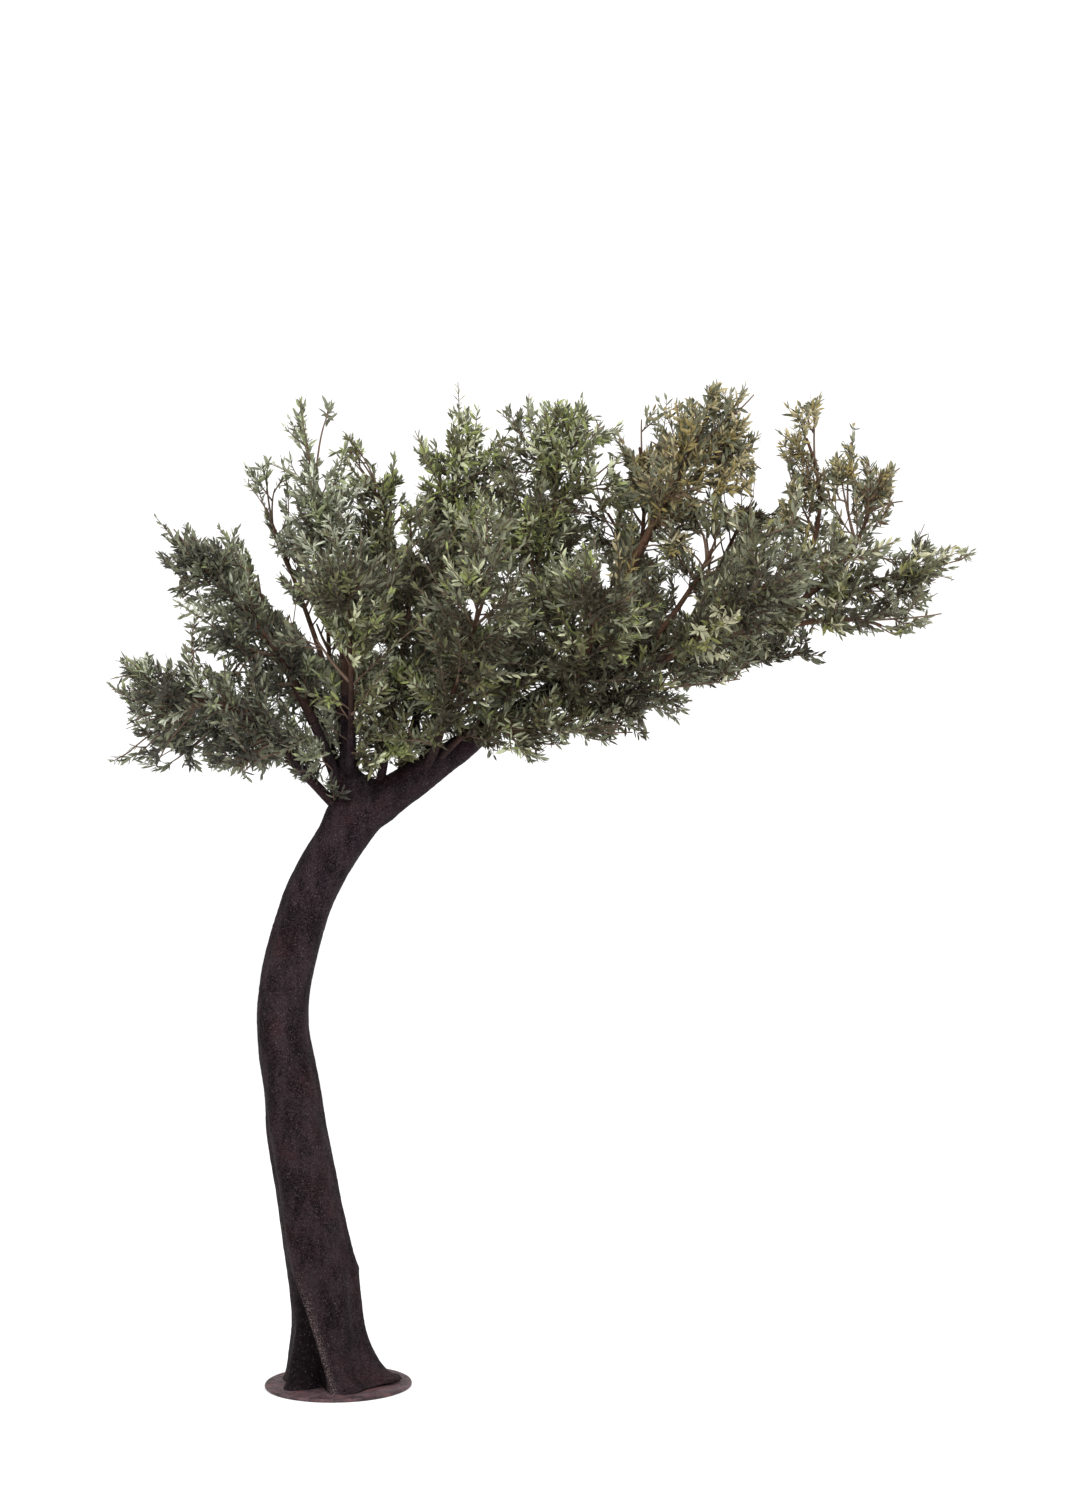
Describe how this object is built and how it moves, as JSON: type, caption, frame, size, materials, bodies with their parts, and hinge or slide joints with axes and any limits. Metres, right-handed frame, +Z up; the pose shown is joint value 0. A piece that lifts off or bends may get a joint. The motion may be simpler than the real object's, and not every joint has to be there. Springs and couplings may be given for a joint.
{
  "type": "artificial olive tree on a base plate",
  "caption": "Artificial olive tree: a curved, leaning trunk on a thin round base plate, forking into boughs that carry a wide one-sided crown of leafy sprays.",
  "frame": {"origin": "centre of the base plate's flat underside", "axes": "+Z up along the standing height, +X the side that the crown leans to, -Y the side seen in the picture"},
  "size_m": [2.561, 1.1357, 2.9968],
  "materials": {
    "plate": "dark brown paint, satin, lightly mottled",
    "trunk_bark": "moulded bark, fine grain, dark brown with lighter patches",
    "bough_bark": "moulded bark, brown, matt",
    "foliage_left": "small lance-shaped leaves, dull blue-grey green",
    "foliage_middle": "small lance-shaped leaves, dull olive green",
    "foliage_right": "small lance-shaped leaves, yellowish olive green"
  },
  "bodies": {
    "root": {"base_plate": "plate", "bough_centre": "bough_bark", "bough_centre_high": "bough_bark", "bough_crown_centre": "bough_bark", "bough_crown_right": "bough_bark", "bough_crown_right_rear": "bough_bark", "bough_front_centre": "bough_bark", "bough_front_left": "bough_bark", "bough_front_right": "bough_bark", "bough_left_high": "bough_bark", "bough_left_high_rear": "bough_bark", "bough_left_low": "bough_bark", "bough_left_low_rear": "bough_bark", "bough_low_centre": "bough_bark", "bough_low_right": "bough_bark", "bough_main": "bough_bark", "bough_rear_centre": "bough_bark", "bough_rear_left": "bough_bark", "bough_rear_right": "bough_bark", "bough_right_arm": "bough_bark", "bough_right_front": "bough_bark", "bough_right_front_low": "bough_bark", "bough_right_high": "bough_bark", "bough_right_low": "bough_bark", "bough_right_middle": "bough_bark", "bough_right_rear": "bough_bark", "bough_spike": "bough_bark", "bough_upright": "bough_bark", "bough_upright_rear": "bough_bark", "bough_upright_right": "bough_bark", "foliage_centre": "foliage_middle", "foliage_centre_high": "foliage_middle", "foliage_crown_centre": "foliage_middle", "foliage_crown_right": "foliage_right", "foliage_crown_right_rear": "foliage_right", "foliage_front_centre": "foliage_middle", "foliage_front_left": "foliage_middle", "foliage_front_right": "foliage_middle", "foliage_left_high": "foliage_left", "foliage_left_high_rear": "foliage_left", "foliage_left_low": "foliage_left", "foliage_left_low_rear": "foliage_left", "foliage_low_centre": "foliage_middle", "foliage_low_right": "foliage_right", "foliage_rear_centre": "foliage_middle", "foliage_rear_left": "foliage_left", "foliage_rear_right": "foliage_middle", "foliage_right_arm": "foliage_right", "foliage_right_front": "foliage_right", "foliage_right_front_low": "foliage_right", "foliage_right_high": "foliage_right", "foliage_right_low": "foliage_right", "foliage_right_middle": "foliage_right", "foliage_right_rear": "foliage_right", "foliage_spike": "foliage_right", "foliage_upright": "foliage_left", "foliage_upright_rear": "foliage_left", "foliage_upright_right": "foliage_middle", "trunk": "trunk_bark"}
  },
  "joints": []
}
